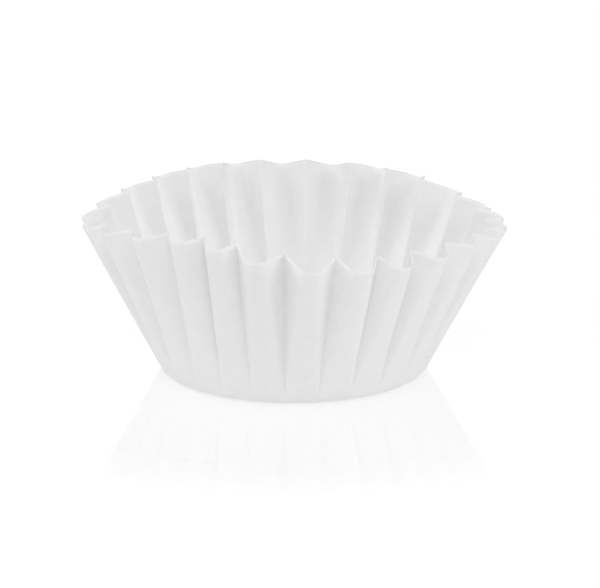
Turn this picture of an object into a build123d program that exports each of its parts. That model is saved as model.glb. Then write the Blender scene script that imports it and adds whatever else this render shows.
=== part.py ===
from build123d import *
import math
import os

# A paper coffee filter for a flat-bottomed basket: one round sheet of filter paper pressed
# into a cup. The base is flat and turns up through a rounded corner. The wall leans outwards
# and is folded into a ring of flutes: each flute is a round lobe that bulges outwards between
# two sharp inward folds. The sheet only bends and never stretches, so every flute is made of
# flat panels and parts of cones whose points sit where the folds start.
# Sizes are mm and degrees. The origin is the centre of the underside and +Z is up. Azimuth 0
# is the front (-Y) and grows towards +X.

# The sheet
paper_thickness = 0.2
base_radius = 53.8
corner_radius = 4.0
corner_turn = 63.0
wall_length = 70.0

# The flutes
flute_count = 26
first_fold = -3.0
base_fold_lag = -0.8
rim_radius = 84.0
fold_depth = 8.5
lobe_flat_share = 0.18
crown_radius = 3.5
radius_growth = 1.1
cone_count = 8

# How far each fold has drifted round the rim from an even spacing, fold by fold
fold_drift = [
    0.0, 2.0, 1.2, -0.3, 0.1, 1.4, 0.8, 0.9, -0.6, -0.8, 2.3, 0.1, -1.0,
    -0.8, -0.3, -1.4, -2.9, -4.4, -4.5, -3.6, -3.4, -2.4, 0.2, 3.0, 2.4, -0.8,
]

# The sheet sits off centre and the cup is a little out of round, so the rim isn't level:
# how much longer the wall, wider the rim and deeper the folds are, and how much lower the
# folds end, every 30 degrees round the cup from the front
wall_longer = [1.5, -0.5, 0.5, -2.5, -2.0, 1.0, 0.5, 1.0, -1.5, -1.0, 3.5, 7.0]
rim_wider = [-0.5, -0.5, 0.0, 2.5, 4.0, 3.5, 0.5, 1.0, 2.0, 2.5, -1.0, -2.5]
folds_deeper = [1.5, 1.5, -0.5, 1.0, 3.5, 3.0, 1.0, 1.5, 1.8, 1.5, -2.5, -2.0]
folds_lower = [0.0, 0.0, 1.0, 2.5, 2.0, 2.0, 0.0, 1.5, 1.5, 1.0, 0.0, 0.0]

# Values that follow from the ones above
pitch = 360 / flute_count
flat_reach = base_radius - corner_radius * math.tan(math.radians(corner_turn / 2))
corner_height = corner_radius + paper_thickness / 2


def polar(azimuth, radius, height):
    """A point from its azimuth, its distance from the axis and its height."""
    angle = math.radians(azimuth)
    return Vector(radius * math.sin(angle), -radius * math.cos(angle), height)


def turned(vector, axis, degrees):
    """A vector turned about a unit axis."""
    angle = math.radians(degrees)
    along = axis * axis.dot(vector)
    across = vector - along
    return along + across * math.cos(angle) + axis.cross(vector) * math.sin(angle)


def around(sizes, azimuth):
    """One of the sizes that change round the cup, eased between its stated values."""
    count = len(sizes)
    place = azimuth % 360 * count / 360
    number = int(place)
    share = place - number
    before, here, after, beyond = [sizes[(number + step) % count] for step in (-1, 0, 1, 2)]
    slope = after - before
    bow = 2 * before - 5 * here + 4 * after - beyond
    twist = 3 * (here - after) + beyond - before
    return here + share * (slope + share * (bow + share * twist)) / 2


def rim_point(azimuth, depth):
    """A point of the rim, so deep inwards from the line where the lobes bulge furthest."""
    length = wall_length + around(wall_longer, azimuth)
    radius = rim_radius + around(rim_wider, azimuth)
    lean = math.acos((radius - base_radius) / length)
    height = length * math.sin(lean) + paper_thickness / 2
    return polar(azimuth, radius - depth * math.sin(lean), height + depth * math.cos(lean))


def rim_fold_azimuth(number):
    """Where a fold meets the rim."""
    lap, place = divmod(number, flute_count)
    return first_fold + pitch * place + fold_drift[place] + 360 * lap


def fold_start(number, side):
    """Where a fold starts, at the top of the rounded corner."""
    turn = math.radians(corner_turn)
    radius = corner_radius + side * paper_thickness / 2
    reach = (flat_reach + radius * math.sin(turn)) / math.cos(math.radians(pitch / 2))
    azimuth = first_fold + base_fold_lag + pitch * number
    return polar(azimuth, reach, corner_height - radius * math.cos(turn))


def fold_end(number, side):
    """Where a fold meets the rim, set off as a mitre between its two leaning sides."""
    azimuth = rim_fold_azimuth(number)
    depth = fold_depth + around(folds_deeper, azimuth)
    end = rim_point(azimuth, depth - side * paper_thickness)
    return end - Vector(0, 0, around(folds_lower, azimuth))


def lobe_cones(start, flat_end, outwards, way, bend):
    """The cones that bend half a lobe, each by the same angle and each wider than the last.
    Gives every cone's first edge, axis and last edge, and where the paper faces after them."""
    cones = []
    end = flat_end
    for place in range(cone_count):
        first = end
        ruling = first - start
        half_angle = math.asin(crown_radius * radius_growth**place / ruling.length)
        axis = ruling.normalized() * math.cos(half_angle) - outwards * math.sin(half_angle)
        axis = axis * way
        end = start + turned(ruling, axis, bend)
        outwards = turned(outwards, axis, bend)
        cones.append((first, axis, end))
    return cones, outwards


def bend_to_fold(start, flat_end, outwards, way, fold):
    """The bend of each cone that lets a flat panel after the last one reach the fold."""
    low = 0.0
    high = 120.0 / cone_count
    while high - low > 1e-10:
        bend = (low + high) / 2
        facing = lobe_cones(start, flat_end, outwards, way, bend)[1]
        if facing.dot(fold - start) < 0:
            low = bend
        else:
            high = bend
    return low


def lobe_side(start, flat_end, outwards, way, fold):
    """Half a lobe from its flat middle: the cones, then the flat panel up to the fold."""
    bend = bend_to_fold(start, flat_end, outwards, way, fold)
    faces = []
    rim = []
    for first, axis, end in lobe_cones(start, flat_end, outwards, way, bend)[0]:
        middle = start + turned(first - start, axis, bend / 2)
        faces.append(Face.revolve(Edge.make_line(start, first), bend, Axis(start, axis)))
        rim.append(Edge.make_three_point_arc(first, middle, end))
    faces.append(Face(Wire.make_polygon([start, end, fold])))
    rim.append(Edge.make_line(end, fold))
    return faces, rim


def flute(number, side):
    """One face of a flute: its flat middle and a lobe side to the left and the right."""
    left = fold_start(number, side)
    right = fold_start(number + 1, side)
    chord = (right - left).normalized()
    azimuth = (rim_fold_azimuth(number) + rim_fold_azimuth(number + 1)) / 2
    middle = rim_point(azimuth, -side * paper_thickness / 2)
    left_fold = fold_end(number, side)
    right_fold = fold_end(number + 1, side)
    half_flat = chord * ((right_fold - left_fold).length * lobe_flat_share / 2)
    flat_left = middle - half_flat
    flat_right = middle + half_flat
    outwards = chord.cross(middle - left).normalized()
    faces = [Face(Wire.make_polygon([left, right, flat_right, flat_left]))]
    rim = [Edge.make_line(flat_left, flat_right)]
    for start, flat_end, way, fold in (
        (left, flat_left, -1, left_fold),
        (right, flat_right, 1, right_fold),
    ):
        side_faces, side_rim = lobe_side(start, flat_end, outwards, way, fold)
        faces += side_faces
        rim += side_rim
    return faces, rim


def corner_patch(side):
    """One face of the rounded corner below a flute, cut to the mitre at both its ends."""
    radius = corner_radius + side * paper_thickness / 2
    points = []
    for share in (0, 0.5, 1):
        turn = math.radians(corner_turn * share)
        reach = flat_reach + radius * math.sin(turn)
        points.append(polar(0, reach, corner_height - radius * math.cos(turn)))
    width = Vector(2 * base_radius * math.sin(math.radians(pitch)), 0, 0)
    patch = Face.extrude(Edge.make_three_point_arc(*points).translate(width / -2), width)
    for azimuth, facing in ((pitch / 2, -1), (-pitch / 2, 1)):
        mitre = Plane(origin=(0, 0, 0), z_dir=polar(azimuth + 90, 1, 0) * facing)
        patch = patch.split(mitre, keep=Keep.TOP)
    return patch


def base_face(side):
    """One face of the flat base."""
    reach = flat_reach / math.cos(math.radians(pitch / 2))
    height = (1 - side) * paper_thickness / 2
    start = first_fold + base_fold_lag
    corners = [polar(start + pitch * number, reach, height) for number in range(flute_count)]
    return Face(Wire.make_polygon(corners))


def skin(side):
    """All of the paper's outer face (side 1) or inner face (side -1), and its rim edges."""
    faces = [base_face(side)]
    rim = []
    patch = corner_patch(side)
    for number in range(flute_count):
        azimuth = first_fold + base_fold_lag + pitch * (number + 0.5)
        faces += patch.rotate(Axis.Z, azimuth).faces()
        flute_faces, flute_rim = flute(number, side)
        faces += flute_faces
        rim += flute_rim
    return faces, rim


def build_filter():
    """The whole filter as one solid: two skins of paper joined by the cut rim."""
    outer_faces, outer_rim = skin(1)
    inner_faces, inner_rim = skin(-1)
    cut = []
    for outer_edge, inner_edge in zip(outer_rim, inner_rim):
        cut.append(Face.make_surface_from_curves(outer_edge, inner_edge))
    return Solid(Shell(outer_faces + inner_faces + cut))


os.makedirs("parts", exist_ok=True)
export_step(build_filter(), "parts/filter_paper.step")
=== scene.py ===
import math

import bpy
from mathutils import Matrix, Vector, noise


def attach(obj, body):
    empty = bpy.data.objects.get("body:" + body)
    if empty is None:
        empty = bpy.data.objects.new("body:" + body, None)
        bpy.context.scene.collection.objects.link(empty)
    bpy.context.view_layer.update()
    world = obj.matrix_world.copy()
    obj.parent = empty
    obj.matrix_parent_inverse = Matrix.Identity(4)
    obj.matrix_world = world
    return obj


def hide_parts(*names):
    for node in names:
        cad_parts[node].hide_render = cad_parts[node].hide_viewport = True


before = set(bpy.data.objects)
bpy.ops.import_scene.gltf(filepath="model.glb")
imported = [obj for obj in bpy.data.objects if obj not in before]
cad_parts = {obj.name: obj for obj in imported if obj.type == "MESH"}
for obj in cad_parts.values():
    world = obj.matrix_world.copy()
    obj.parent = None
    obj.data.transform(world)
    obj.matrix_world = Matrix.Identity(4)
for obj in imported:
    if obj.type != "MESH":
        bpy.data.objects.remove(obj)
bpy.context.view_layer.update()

# A paper coffee filter: one round sheet of filter paper pressed into a fluted cup. The sheet
# is built as a fine mesh from the solid's fold layout, with some of its sizes a little nearer
# the photograph, then given its thickness.
# Lengths are in metres and angles in degrees, in the solid's frame: the origin is the centre
# of the underside, +Z is up, azimuth 0 is the front (-Y) and grows towards +X.
MM = 0.001

# The sheet
PAPER_THICKNESS = 0.2 * MM
BASE_RADIUS = 53.3 * MM
CORNER_RADIUS = 5.0 * MM
CORNER_TURN = 63.0
WALL_LENGTH = 70.0 * MM

# The flutes
FLUTE_COUNT = 26
FIRST_FOLD = -3.0
BASE_FOLD_LAG = -0.8
RIM_RADIUS = 84.0 * MM
FOLD_DEPTH = 8.5 * MM
LOBE_FLAT_SHARE = 0.1
CROWN_RADIUS = 3.3 * MM
RADIUS_GROWTH = 1.1
CONE_COUNT = 8
FOLD_DRIFT = [
    0.0, 2.0, 1.2, -0.3, 0.1, 1.4, 0.8, 0.9, -0.6, -0.8, 2.3, 0.1, -1.0,
    -0.8, -0.3, -1.4, -2.9, -4.4, -4.5, -3.6, -3.4, -2.4, 0.2, 3.0, 2.4, -0.8,
]
PITCH = 360 / FLUTE_COUNT
FLAT_REACH = BASE_RADIUS - CORNER_RADIUS * math.tan(math.radians(CORNER_TURN / 2))
CORNER_HEIGHT = CORNER_RADIUS + PAPER_THICKNESS / 2

# How much longer the wall, wider the rim and deeper the folds are, and how much lower the
# folds end, in mm, every 30 degrees round the cup from the front
WALL_LONGER = [0.5, -1.6, -0.1, -2.5, -2.8, 0.9, 0.5, 1.6, -0.6, -1.0, 3.3, 6.5]
RIM_WIDER = [-0.5, -0.5, 0.0, 2.5, 4.0, 3.5, 0.5, 1.0, 2.0, 2.5, -1.0, -2.5]
FOLDS_DEEPER = [1.5, 1.5, -0.5, 1.0, 3.5, 3.0, 1.0, 1.5, 1.8, 1.5, -0.8, -0.3]
FOLDS_LOWER = [0.0, 0.0, 1.0, 2.5, 2.0, 2.0, 0.0, 1.5, 1.5, 1.3, 1.3, 1.2]
# How much further in single folds are pulled than the rest, in mm by the fold's number, and
# the share of it by which they also end lower
PULLED_IN = {0: 2.8, 1: -0.6, 2: -2.4, 25: -0.8}
PULLED_DOWN_SHARE = 0.55

# The most that half a lobe can bend, and how closely the bend of one cone is found
MOST_BEND = 120.0
BEND_TOLERANCE = 1e-9

# The mesh. A flute has one column of points on its left fold, two on each rounded side of a
# fold, some across each flat panel, one for each cone and three on its flat middle.
FOLD_ROUNDING = 0.7 * MM
PANEL_POINTS = 4
COLUMNS = 2 * (2 + PANEL_POINTS + CONE_COUNT) + 4
WALL_ROWS = 38
CORNER_ROWS = 5
BUNCHING = 2.2
# Rings of the flat base: radius and how many columns share one point there
BASE_RINGS = [
    (48.5 * MM, 1), (46.0 * MM, 1), (43.0 * MM, 2), (39.0 * MM, 2), (34.0 * MM, 4), (29.0 * MM, 4),
    (24.0 * MM, 4), (19.0 * MM, 8), (14.0 * MM, 8), (9.0 * MM, 16), (4.5 * MM, 16),
]

# How far the paper stands off its true surface, how broad its waves are, how much smaller the
# finer ones among them are, and the height over which they come in above the corner
UNEVENNESS = 0.22 * MM
UNEVEN_SIZE = 22 * MM
FINER_SIZE_SHARE = 0.35
FINER_SHARE = 0.35
FINER_SHIFT = Vector((7.0, 3.0, 5.0))
UNEVEN_RISE = 20 * MM

# The table: how much light it throws back and gives of its own to the paper, the latter a
# painted glow that also lights the paper under the cup, and to the camera, and how much of the
# cup it mirrors, fading out between two distances
TABLE_HALF_WIDTH = 6.0
TABLE_LIT = 0.6
TABLE_PAINTED_GLOW = 0.36
TABLE_SHADE = 0.14
TABLE_GLOW = 0.9
MIRROR_ROUGHNESS = 0.07
MIRROR_SHARE = 0.31
MIRROR_FADE_START = 125 * MM
MIRROR_FADE_END = 205 * MM

# The light of the surround, and the lamps: name, place, width and power
SURROUND_LIGHT = 0.46
LAMPS = [
    ("left_light", (-1.6, -0.5, 1.0), 1.2, 3.6),
    ("right_light", (1.6, -0.5, 1.0), 1.2, 8.8),
    ("high_light", (-1.5, 0.1, 1.5), 1.0, 7.1),
    ("front_light", (0.0, -1.1, 1.7), 1.0, 11.4),
]
LAMP_TARGET = (0, 0, 30 * MM)


def polar(azimuth, radius, height):
    """A point from its azimuth, its distance from the axis and its height."""
    angle = math.radians(azimuth)
    return Vector((radius * math.sin(angle), -radius * math.cos(angle), height))


def turned(vector, axis, degrees):
    """A vector turned about a unit axis."""
    angle = math.radians(degrees)
    along = axis * axis.dot(vector)
    across = vector - along
    return along + across * math.cos(angle) + axis.cross(vector) * math.sin(angle)


def around(sizes, azimuth):
    """One of the sizes that change round the cup, eased between its stated values."""
    count = len(sizes)
    place = azimuth % 360 * count / 360
    number = int(place)
    share = place - number
    before, here, after, beyond = [sizes[(number + step) % count] for step in (-1, 0, 1, 2)]
    slope = after - before
    bow = 2 * before - 5 * here + 4 * after - beyond
    twist = 3 * (here - after) + beyond - before
    return (here + share * (slope + share * (bow + share * twist)) / 2) * MM


def rim_point(azimuth, depth):
    """A point of the rim, so deep inwards from the line where the lobes bulge furthest."""
    length = WALL_LENGTH + around(WALL_LONGER, azimuth)
    radius = RIM_RADIUS + around(RIM_WIDER, azimuth)
    lean = math.acos((radius - BASE_RADIUS) / length)
    height = length * math.sin(lean) + PAPER_THICKNESS / 2
    return polar(azimuth, radius - depth * math.sin(lean), height + depth * math.cos(lean))


def rim_fold_azimuth(number):
    """The azimuth at which a fold meets the rim."""
    lap, place = divmod(number, FLUTE_COUNT)
    return FIRST_FOLD + PITCH * place + FOLD_DRIFT[place] + 360 * lap


def fold_end(number):
    """Where a fold meets the rim."""
    azimuth = rim_fold_azimuth(number)
    pulled = PULLED_IN.get(number % FLUTE_COUNT, 0.0) * MM
    depth = FOLD_DEPTH + around(FOLDS_DEEPER, azimuth) + pulled
    lower = around(FOLDS_LOWER, azimuth) + pulled * PULLED_DOWN_SHARE
    return rim_point(azimuth, depth) - Vector((0, 0, lower))


def fold_azimuth(number):
    """Where a fold starts, round the base."""
    return FIRST_FOLD + BASE_FOLD_LAG + PITCH * number


def ring_corner(number, turn):
    """A corner of the many-sided ring that the rounded corner makes at one turn of it."""
    angle = math.radians(turn)
    reach = (FLAT_REACH + CORNER_RADIUS * math.sin(angle)) / math.cos(math.radians(PITCH / 2))
    return polar(fold_azimuth(number), reach, CORNER_HEIGHT - CORNER_RADIUS * math.cos(angle))


def cone_rim(start, flat_end, outwards, way, bend):
    """The rim of half a lobe as it bends over its cones, and where the paper faces then."""
    points = []
    end = flat_end
    for place in range(CONE_COUNT):
        ruling = end - start
        half_angle = math.asin(CROWN_RADIUS * RADIUS_GROWTH**place / ruling.length)
        axis = (ruling.normalized() * math.cos(half_angle) - outwards * math.sin(half_angle)) * way
        end = start + turned(ruling, axis, bend)
        outwards = turned(outwards, axis, bend)
        points.append(end)
    return points, outwards


def half_lobe(start, flat_end, outwards, way, fold):
    """The rim of half a lobe, bent just enough for a flat panel to reach the fold."""
    low = 0.0
    high = MOST_BEND / CONE_COUNT
    while high - low > BEND_TOLERANCE:
        bend = (low + high) / 2
        points, facing = cone_rim(start, flat_end, outwards, way, bend)
        if facing.dot(fold - start) < 0:
            low = bend
        else:
            high = bend
    return points


def rounding(fold, panel_end):
    """Two points on one side of a fold that is rounded a little."""
    way = (panel_end - fold).normalized()
    return [fold + way * (FOLD_ROUNDING * 0.5), fold + way * FOLD_ROUNDING]


def panel(start, end):
    """Points that share out a flat panel."""
    return [start.lerp(end, (place + 1) / (PANEL_POINTS + 1)) for place in range(PANEL_POINTS)]


def flute_rim(number):
    """The points of one flute along the rim, from its left fold up to its right fold."""
    left = ring_corner(number, CORNER_TURN)
    right = ring_corner(number + 1, CORNER_TURN)
    chord = (right - left).normalized()
    middle = rim_point((rim_fold_azimuth(number) + rim_fold_azimuth(number + 1)) / 2, 0)
    outwards = chord.cross(middle - left).normalized()
    left_fold = fold_end(number)
    right_fold = fold_end(number + 1)
    half_flat = chord * ((right_fold - left_fold).length * LOBE_FLAT_SHARE / 2)
    flat_left = middle - half_flat
    flat_right = middle + half_flat
    left_half = half_lobe(left, flat_left, outwards, -1, left_fold)
    right_half = half_lobe(right, flat_right, outwards, 1, right_fold)
    near_left = rounding(left_fold, left_half[-1])
    near_right = rounding(right_fold, right_half[-1])
    return (
        [left_fold] + near_left + panel(near_left[-1], left_half[-1]) + left_half[::-1]
        + [flat_left, middle, flat_right]
        + right_half + panel(near_right[-1], right_half[-1])[::-1] + near_right[::-1]
    )


def round_folds(rim):
    """Pulls each fold's point, and the ones next to it, onto a small curve."""
    rounded = list(rim)
    for fold in range(0, len(rim), COLUMNS):
        before = rim[fold - 2]
        after = rim[fold + 2]
        corner = rim[fold]
        for step, share in ((-1, 0.25), (0, 0.5), (1, 0.75)):
            on_left = before.lerp(corner, share)
            on_right = corner.lerp(after, share)
            rounded[(fold + step) % len(rim)] = on_left.lerp(on_right, share)
    return rounded


def bunched(share):
    """How far along the base a column starts, drawn in towards the folds at both ends."""
    toward = share**BUNCHING
    return toward / (toward + (1 - share) ** BUNCHING)


def base_point(column, turn):
    """The foot of a column on the rounded corner."""
    number, place = divmod(column, COLUMNS)
    return ring_corner(number, turn).lerp(ring_corner(number + 1, turn), bunched(place / COLUMNS))


def make_rows():
    """The middle of the paper as rows of points, from the rim down and in to the base."""
    total = FLUTE_COUNT * COLUMNS
    rim = []
    for number in range(FLUTE_COUNT):
        rim += flute_rim(number)
    rim = round_folds(rim)
    feet = [base_point(column, CORNER_TURN) for column in range(total)]
    rows = []
    for row in range(WALL_ROWS):
        share = 1 - row / WALL_ROWS
        rows.append([foot.lerp(top, share) for foot, top in zip(feet, rim)])
    for row in range(CORNER_ROWS + 1):
        turn = CORNER_TURN * (1 - row / CORNER_ROWS)
        rows.append([base_point(column, turn) for column in range(total)])
    for radius, step in BASE_RINGS:
        ring = []
        for column in range(0, total, step):
            azimuth = fold_azimuth(0) + 360 * column / total
            ring.append(polar(azimuth, radius, PAPER_THICKNESS / 2))
        rows.append(ring)
    return rows


def row_faces(starts, rows):
    """Faces between each row and the next, which has as many points or half as many."""
    faces = []
    for number in range(len(rows) - 1):
        here, there = starts[number], starts[number + 1]
        many, few = len(rows[number]), len(rows[number + 1])
        if many == few:
            for place in range(many):
                after = (place + 1) % many
                faces.append((here + place, here + after, there + after, there + place))
        else:
            for place in range(few):
                first = here + 2 * place
                second = first + 1
                third = here + (2 * place + 2) % many
                after = (place + 1) % few
                faces.append((first, second, there + place))
                faces.append((second, third, there + after, there + place))
    return faces


def sheet_middle():
    """The middle of the paper: its points and its faces."""
    rows = make_rows()
    starts = []
    points = []
    for row in rows:
        starts.append(len(points))
        points += row
    centre = len(points)
    points.append(Vector((0, 0, PAPER_THICKNESS / 2)))
    faces = row_faces(starts, rows)
    last = starts[-1]
    inner = len(rows[-1])
    faces += [(last + place, last + (place + 1) % inner, centre) for place in range(inner)]
    return points, faces


def facings(points, faces):
    """Which way the paper faces at each of its points."""
    mesh = bpy.data.meshes.new("sheet_middle")
    mesh.from_pydata(points, [], faces)
    mesh.update()
    normals = [vertex.normal.copy() for vertex in mesh.vertices]
    bpy.data.meshes.remove(mesh)
    return normals


def unevenness(point):
    """How far the paper stands off its true surface, so that the panels aren't perfect."""
    rise = min(1.0, max(0.0, (point.z - CORNER_HEIGHT) / UNEVEN_RISE))
    broad = noise.noise(point / UNEVEN_SIZE)
    fine = noise.noise(point / (UNEVEN_SIZE * FINER_SIZE_SHARE) + FINER_SHIFT)
    return UNEVENNESS * rise * (broad + FINER_SHARE * fine)


def make_paper():
    """The filter's paper as one closed mesh: two skins and the cut rim."""
    points, faces = sheet_middle()
    normals = facings(points, faces)
    moved = [point + normal * unevenness(point) for point, normal in zip(points, normals)]
    half = PAPER_THICKNESS / 2
    outside = [point + normal * half for point, normal in zip(moved, normals)]
    inside = [point - normal * half for point, normal in zip(moved, normals)]
    shift = len(points)
    total = FLUTE_COUNT * COLUMNS
    skins = faces + [tuple(shift + corner for corner in reversed(face)) for face in faces]
    rim = []
    for place in range(total):
        after = (place + 1) % total
        rim.append((after, place, shift + place, shift + after))

    mesh = bpy.data.meshes.new("filter_sheet")
    mesh.from_pydata(outside + inside, [], skins + rim)
    mesh.update()
    smooth = [True] * len(skins) + [False] * len(rim)
    mesh.polygons.foreach_set("use_smooth", smooth)
    piece = bpy.data.objects.new("filter_sheet", mesh)
    bpy.context.collection.objects.link(piece)
    return piece


def noise_node(tree, coordinates, scale, detail, rough):
    """A noise texture on the object's own coordinates."""
    node = tree.nodes.new("ShaderNodeTexNoise")
    node.inputs["Scale"].default_value = scale
    node.inputs["Detail"].default_value = detail
    node.inputs["Roughness"].default_value = rough
    tree.links.new(coordinates, node.inputs["Vector"])
    return node


def range_node(tree, source, low, high, at_low, at_high):
    """Maps a value from one range onto another."""
    node = tree.nodes.new("ShaderNodeMapRange")
    node.inputs["From Min"].default_value = low
    node.inputs["From Max"].default_value = high
    node.inputs["To Min"].default_value = at_low
    node.inputs["To Max"].default_value = at_high
    tree.links.new(source, node.inputs["Value"])
    return node


def bump_node(tree, height, strength, distance):
    """A bump that follows a noise."""
    node = tree.nodes.new("ShaderNodeBump")
    node.inputs["Strength"].default_value = strength
    node.inputs["Distance"].default_value = distance
    tree.links.new(height, node.inputs["Height"])
    return node


def grey_node(tree, kind, tone):
    """A shader of one grey tone."""
    node = tree.nodes.new(kind)
    node.inputs["Color"].default_value = (tone, tone, tone, 1)
    return node


def paper_material():
    """Bleached filter paper: matt, with cloudy formation, fine fibres and a soft tooth."""
    material = bpy.data.materials.new("bleached_paper")
    material.use_nodes = True
    tree = material.node_tree
    shader = tree.nodes["Principled BSDF"]
    place = tree.nodes.new("ShaderNodeTexCoord").outputs["Object"]

    cloud = noise_node(tree, place, scale=260, detail=3, rough=0.55).outputs["Fac"]
    fibre = noise_node(tree, place, scale=1500, detail=4, rough=0.7).outputs["Fac"]
    colour = tree.nodes.new("ShaderNodeValToRGB")
    darker, lighter = colour.color_ramp.elements
    darker.position = 0.3
    darker.color = (0.86, 0.86, 0.858, 1)
    lighter.position = 0.7
    lighter.color = (0.882, 0.882, 0.88, 1)
    tree.links.new(cloud, colour.inputs["Fac"])
    tree.links.new(colour.outputs["Color"], shader.inputs["Base Color"])

    roughness = range_node(tree, fibre, low=0.3, high=0.7, at_low=0.82, at_high=0.95)
    tree.links.new(roughness.outputs["Result"], shader.inputs["Roughness"])
    shader.inputs["Specular IOR Level"].default_value = 0.25
    shader.inputs["Subsurface Weight"].default_value = 0.1
    shader.inputs["Subsurface Radius"].default_value = (1.0, 1.0, 1.0)
    shader.inputs["Subsurface Scale"].default_value = 0.4 * MM

    tooth = bump_node(tree, fibre, strength=0.35, distance=0.05 * MM)
    formation = bump_node(tree, cloud, strength=0.2, distance=0.08 * MM)
    tree.links.new(tooth.outputs["Normal"], formation.inputs["Normal"])
    tree.links.new(formation.outputs["Normal"], shader.inputs["Normal"])
    return material


def background_rays(tree):
    """1 for a ray from the camera, or off or through something shiny, and 0 for lighting."""
    rays = tree.nodes.new("ShaderNodeLightPath")
    seen = tree.nodes.new("ShaderNodeMath")
    seen.operation = "MAXIMUM"
    tree.links.new(rays.outputs["Is Camera Ray"], seen.inputs[0])
    tree.links.new(rays.outputs["Is Glossy Ray"], seen.inputs[1])
    either = tree.nodes.new("ShaderNodeMath")
    either.operation = "MAXIMUM"
    tree.links.new(seen.outputs[0], either.inputs[0])
    tree.links.new(rays.outputs["Is Transmission Ray"], either.inputs[1])
    return either.outputs[0]


def mirror_share(tree):
    """How much the table mirrors: a little near its middle, fading out further off."""
    place = tree.nodes.new("ShaderNodeTexCoord")
    distance = tree.nodes.new("ShaderNodeVectorMath")
    distance.operation = "LENGTH"
    tree.links.new(place.outputs["Object"], distance.inputs[0])
    length = distance.outputs["Value"]
    fade = range_node(tree, length, MIRROR_FADE_START, MIRROR_FADE_END, MIRROR_SHARE, 0.0)
    fade.interpolation_type = "SMOOTHSTEP"
    return fade.outputs["Result"]


def added(tree, one, other):
    """Two shaders added up."""
    node = tree.nodes.new("ShaderNodeAddShader")
    tree.links.new(one.outputs[0], node.inputs[0])
    tree.links.new(other.outputs[0], node.inputs[1])
    return node


def mixed(tree, share, one, other):
    """Two shaders mixed, with the second one's share given by a value."""
    node = tree.nodes.new("ShaderNodeMixShader")
    tree.links.new(share, node.inputs[0])
    tree.links.new(one.outputs[0], node.inputs[1])
    tree.links.new(other.outputs[0], node.inputs[2])
    return node


def floor_material():
    """A white table top. It lights the paper as plain white, and with a painted glow of its own
    also from under the cup, shows to the camera as near white with the shadow left in, and mirrors
    the cup faintly."""
    material = bpy.data.materials.new("white_table")
    material.use_nodes = True
    tree = material.node_tree
    tree.nodes.clear()
    output = tree.nodes.new("ShaderNodeOutputMaterial")
    lit = grey_node(tree, "ShaderNodeBsdfDiffuse", TABLE_LIT)
    # A painted glow: the table gives light of its own to the paper, also where the cup shades it
    painted_glow = grey_node(tree, "ShaderNodeEmission", TABLE_PAINTED_GLOW)
    shade = grey_node(tree, "ShaderNodeBsdfDiffuse", TABLE_SHADE)
    glow = grey_node(tree, "ShaderNodeEmission", TABLE_GLOW)
    mirror = grey_node(tree, "ShaderNodeBsdfGlossy", 1)
    mirror.inputs["Roughness"].default_value = MIRROR_ROUGHNESS
    table = added(tree, lit, painted_glow)
    shown = mixed(tree, mirror_share(tree), added(tree, shade, glow), mirror)
    either = mixed(tree, background_rays(tree), table, shown)
    tree.links.new(either.outputs[0], output.inputs["Surface"])
    return material


def make_floor():
    """The surface that the filter stands on."""
    size = TABLE_HALF_WIDTH
    mesh = bpy.data.meshes.new("table_top")
    corners = [(-size, -size, 0), (size, -size, 0), (size, size, 0), (-size, size, 0)]
    mesh.from_pydata(corners, [], [(0, 1, 2, 3)])
    mesh.update()
    piece = bpy.data.objects.new("table_top", mesh)
    bpy.context.collection.objects.link(piece)
    mesh.materials.append(floor_material())


def area_light(name, position, size, power):
    """A soft square light that points at the cup."""
    data = bpy.data.lights.new(name, "AREA")
    data.size = size
    data.energy = power
    lamp = bpy.data.objects.new(name, data)
    bpy.context.collection.objects.link(lamp)
    lamp.location = position
    way = Vector(LAMP_TARGET) - Vector(position)
    lamp.rotation_mode = "QUATERNION"
    lamp.rotation_quaternion = way.to_track_quat("-Z", "Y")


def make_world():
    """An even white surround, seen by the camera as plain white."""
    world = bpy.data.worlds.new("surround")
    bpy.context.scene.world = world
    world.use_nodes = True
    tree = world.node_tree
    tree.nodes.clear()
    output = tree.nodes.new("ShaderNodeOutputWorld")
    light = grey_node(tree, "ShaderNodeBackground", 1)
    light.inputs["Strength"].default_value = SURROUND_LIGHT
    seen = grey_node(tree, "ShaderNodeBackground", 1)
    either = mixed(tree, background_rays(tree), light, seen)
    tree.links.new(either.outputs[0], output.inputs["Surface"])


def make_camera():
    """The photograph's view: a long lens from the front, 16 degrees above the table. The
    picture's middle is given in the photograph's pixels from the origin."""
    elevation = math.radians(16)
    distance = 2.5
    pixels_per_metre = 2450
    image_width = 600
    middle_right = 6.3
    middle_up = 72.4
    right = Vector((1, 0, 0))
    up = Vector((0, math.sin(elevation), math.cos(elevation)))
    back = Vector((0, -math.cos(elevation), math.sin(elevation)))
    data = bpy.data.cameras.new("camera")
    data.sensor_width = 36
    data.lens = pixels_per_metre * distance * data.sensor_width / image_width
    data.clip_start = 0.1
    data.clip_end = 50
    camera = bpy.data.objects.new("camera", data)
    bpy.context.collection.objects.link(camera)
    target = right * (middle_right / pixels_per_metre) + up * (middle_up / pixels_per_metre)
    camera.location = target + back * distance
    camera.rotation_mode = "QUATERNION"
    camera.rotation_quaternion = (-back).to_track_quat("-Z", "Y")
    bpy.context.scene.camera = camera


def set_colours():
    """Plain colour handling, so that tones come out as they are."""
    bpy.context.scene.view_settings.view_transform = "Standard"


set_colours()
make_camera()
make_world()
make_floor()
for lamp_name, lamp_place, lamp_width, lamp_power in LAMPS:
    area_light(lamp_name, lamp_place, lamp_width, lamp_power)

paper = make_paper()
paper.data.materials.append(paper_material())
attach(paper, "root")
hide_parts("filter_paper")
